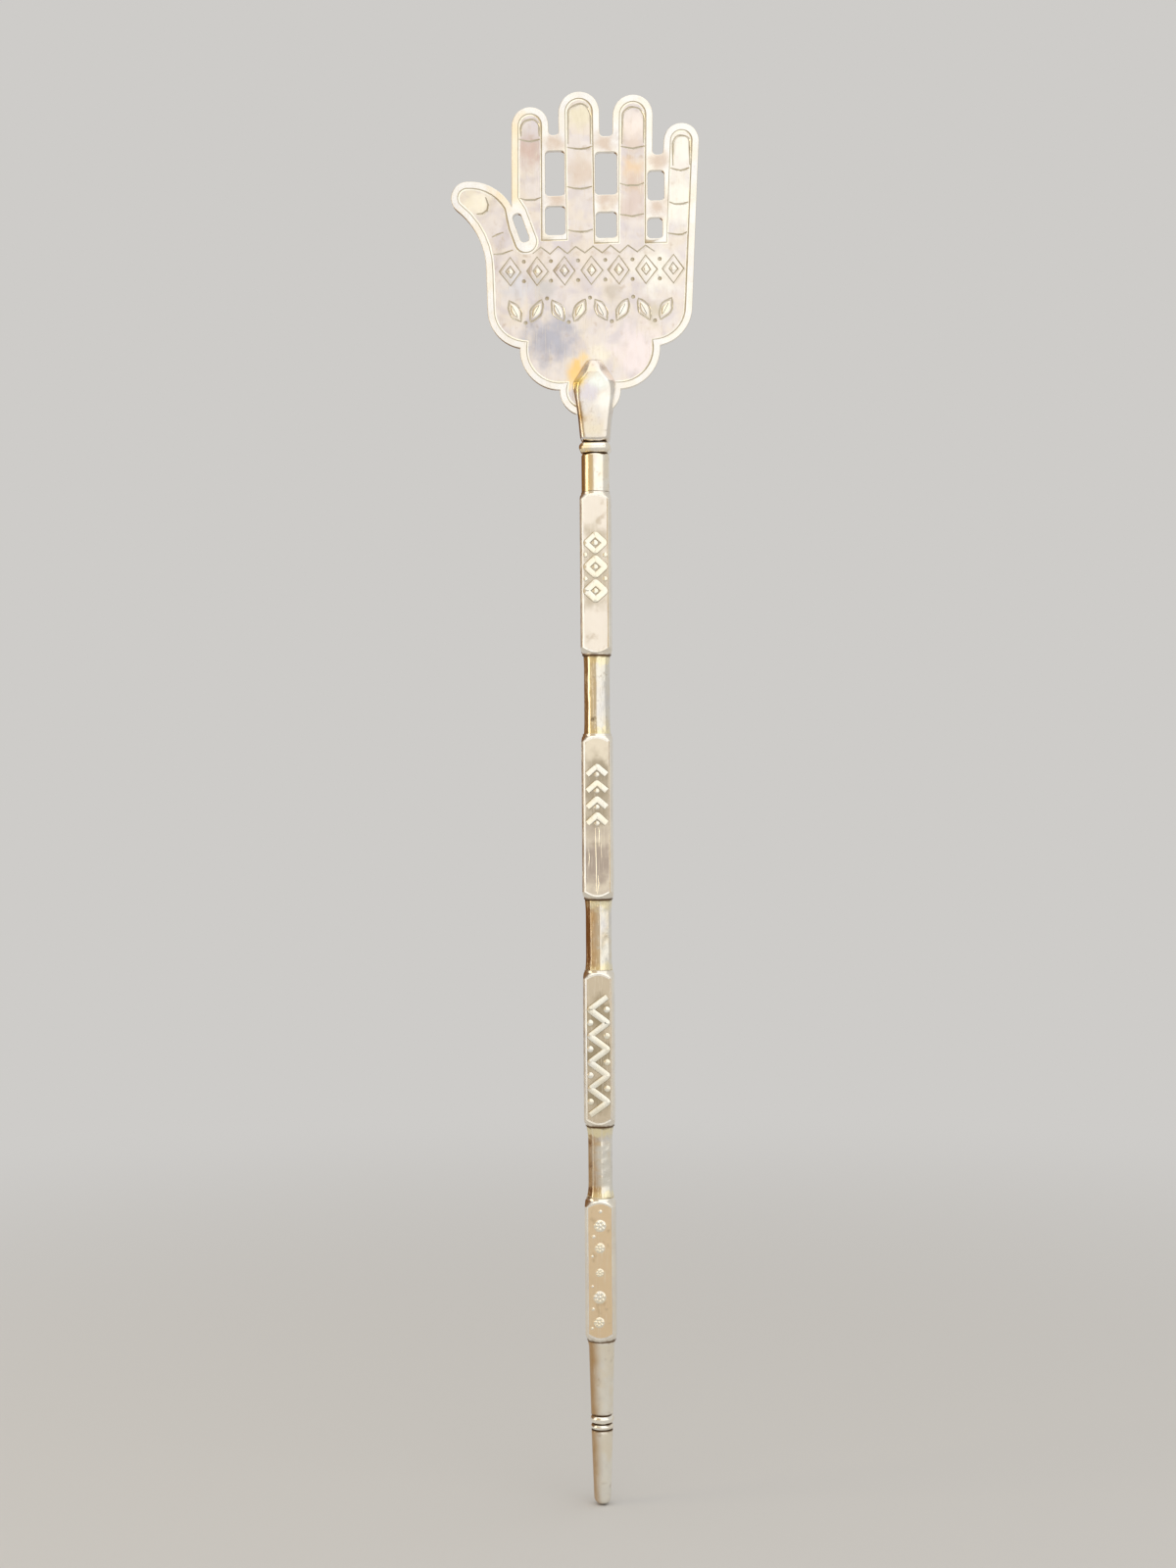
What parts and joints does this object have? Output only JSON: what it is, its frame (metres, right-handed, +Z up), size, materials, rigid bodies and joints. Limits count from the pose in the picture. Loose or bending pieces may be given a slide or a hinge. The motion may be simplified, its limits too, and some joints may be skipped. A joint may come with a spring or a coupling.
{
  "type": "yad torah pointer",
  "caption": "Silver reading pointer: a flat pierced open hand held in a slit bud on a staff of square blocks, faceted links and rings, ending in a slim blunt tip.",
  "frame": {"origin": "on the staff's axis, in the middle of the second link, where the pointer is held", "axes": "+Z runs up the staff from the pointing end to the fingertips; the engraved palm faces -Y; +X is towards the little finger"},
  "size_m": [0.0506, 0.0074, 0.288],
  "materials": {
    "plate_silver": "old silver sheet, rubbed pale, with engraved lines",
    "staff_silver": "filed and worn silver, tarnished in the seams",
    "block_silver": "toned grey ground with bright raised ornament and edges",
    "rod_silver": "drawn wire, not seen"
  },
  "bodies": {
    "root": {"hand_plate": "plate_silver", "bud_socket": "staff_silver", "collar_ring": "staff_silver", "neck_sleeve": "staff_silver", "block_1": "block_silver", "block_2": "block_silver", "block_3": "block_silver", "block_4": "block_silver", "link_1": "staff_silver", "link_2": "staff_silver", "link_3": "staff_silver", "tip_sleeve": "staff_silver", "upper_ring": "staff_silver", "lower_ring": "staff_silver", "pointing_end": "staff_silver", "core_rod": "rod_silver"}
  },
  "joints": []
}
